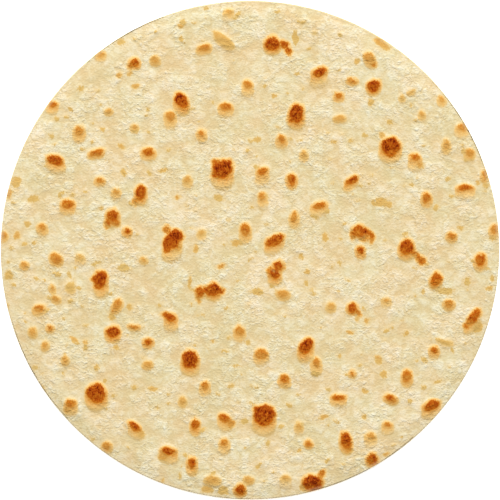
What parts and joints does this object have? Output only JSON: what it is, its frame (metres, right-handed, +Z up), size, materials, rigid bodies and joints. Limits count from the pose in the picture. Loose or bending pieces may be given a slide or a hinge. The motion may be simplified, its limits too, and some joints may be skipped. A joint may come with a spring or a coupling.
{
  "type": "flour tortilla",
  "caption": "Thin round griddled flatbread that lies flat, with a soft rounded rim and low toasted blisters on its upper face.",
  "frame": {"origin": "middle of the flat underside, on the surface that the tortilla lies on", "axes": "+Z up through the thickness, towards the face with the large blisters; +X and +Y lie in the disc, with +Y the side of each blister that its toast sits on"},
  "size_m": [0.25, 0.25, 0.0034],
  "materials": {
    "griddled_dough": "matte"
  },
  "bodies": {
    "root": {"tortilla": "griddled_dough"}
  },
  "joints": []
}
